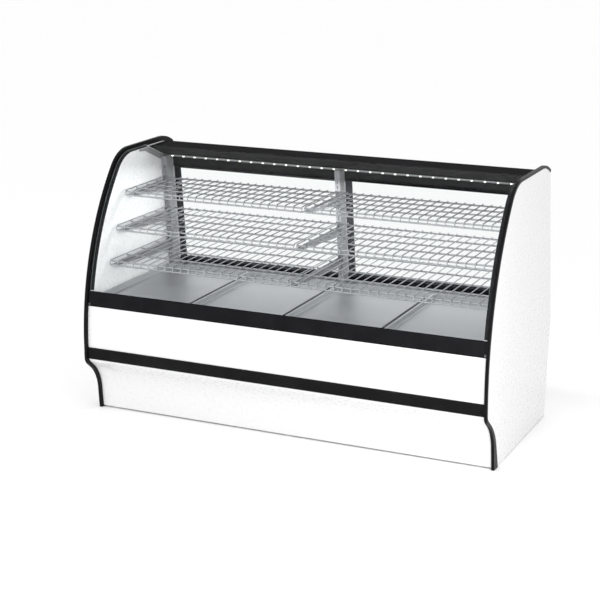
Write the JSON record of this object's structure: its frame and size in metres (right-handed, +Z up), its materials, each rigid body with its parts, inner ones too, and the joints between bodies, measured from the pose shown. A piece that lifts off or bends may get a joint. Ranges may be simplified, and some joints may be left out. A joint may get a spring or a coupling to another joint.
{
  "type": "glass display showcase",
  "caption": "Curved-glass bakery display case on a white cabinet base, with wire shelves, deck trays, an LED canopy, a tilting front glass and sliding rear doors.",
  "frame": {"origin": "on the floor, at the middle of the case's length and depth", "axes": "+X along the case's length to the shopper's right, +Y from the shopper's side to the service side, +Z up"},
  "size_m": [1.962, 0.92, 1.208],
  "materials": {
    "steel_frame": "satin",
    "white_panel": "gloss",
    "white_liner": "gloss",
    "black_moulding": "satin",
    "black_metal": "gloss",
    "gasket": "matte",
    "zinc_block": "satin",
    "front_glass": "polished",
    "door_glass": "polished",
    "grey_paint": "satin",
    "deck_steel": "brushed",
    "tray_aluminium": "satin",
    "shelf_wire": "polished",
    "led_aluminium": "satin",
    "led_board": "matte",
    "led_lamp": "gloss",
    "black_plastic": "matte",
    "door_aluminium": "satin",
    "nylon": "matte"
  },
  "bodies": {
    "case": {"base_frame": "steel_frame", "front_ribs": "steel_frame", "levelling_feet": "steel_frame", "kick_panel": "white_panel", "front_panel": "white_panel", "end_panel_left": "white_panel", "end_panel_right": "white_panel", "rear_panel": "white_panel", "end_liner_left": "white_liner", "end_liner_right": "white_liner", "end_moulding_left": "black_moulding", "end_moulding_right": "black_moulding", "bumper_strip": "black_moulding", "canopy": "black_metal", "rear_header": "black_metal", "rear_sill": "black_metal", "glass_gaskets": "gasket", "hinge_blocks": "zinc_block", "panel_screws": "zinc_block", "gusset_left": "grey_paint", "gusset_right": "grey_paint", "upright_left": "grey_paint", "upright_centre": "grey_paint", "upright_right": "grey_paint", "brackets_low": "grey_paint", "brackets_mid": "grey_paint", "brackets_top": "grey_paint", "deck_floor": "deck_steel", "deck_tray_1": "tray_aluminium", "deck_tray_2": "tray_aluminium", "deck_tray_3": "tray_aluminium", "deck_tray_4": "tray_aluminium", "shelf_low_left": "shelf_wire", "shelf_low_right": "shelf_wire", "shelf_mid_left": "shelf_wire", "shelf_mid_right": "shelf_wire", "shelf_top_left": "shelf_wire", "shelf_top_right": "shelf_wire", "led_channel": "led_aluminium", "led_board": "led_board", "led_chips": "led_lamp", "led_driver": "black_plastic", "service_cover": "black_plastic", "switch_plate": "black_plastic", "cord_gland": "black_plastic"},
    "glass_front": {"glass_rail": "black_metal", "front_glass": "front_glass"},
    "door_left": {"door_left_frame": "door_aluminium", "door_left_glass": "door_glass", "door_left_pull": "black_plastic", "door_left_glides": "nylon"},
    "door_right": {"door_right_frame": "door_aluminium", "door_right_glass": "door_glass", "door_right_pull": "black_plastic", "door_right_glides": "nylon"},
    "light_switch": {"switch_rocker": "black_plastic"}
  },
  "joints": [
    {"name": "front_glass_tilt", "type": "hinge", "parent": "case", "child": "glass_front", "pos_m": [0, -0.428, 0.532], "axis": [1, 0, 0], "range_deg": [0, 35]},
    {"name": "door_left_slide", "type": "slide", "parent": "case", "child": "door_left", "axis": [1, 0, 0], "range_m": [0, 0.9]},
    {"name": "door_right_slide", "type": "slide", "parent": "case", "child": "door_right", "axis": [-1, 0, 0], "range_m": [0, 0.9]},
    {"name": "light_switch_rock", "type": "hinge", "parent": "case", "child": "light_switch", "pos_m": [0.7, 0.45161, 0.38], "axis": [1, 0, 0], "range_deg": [-20, 0]}
  ]
}
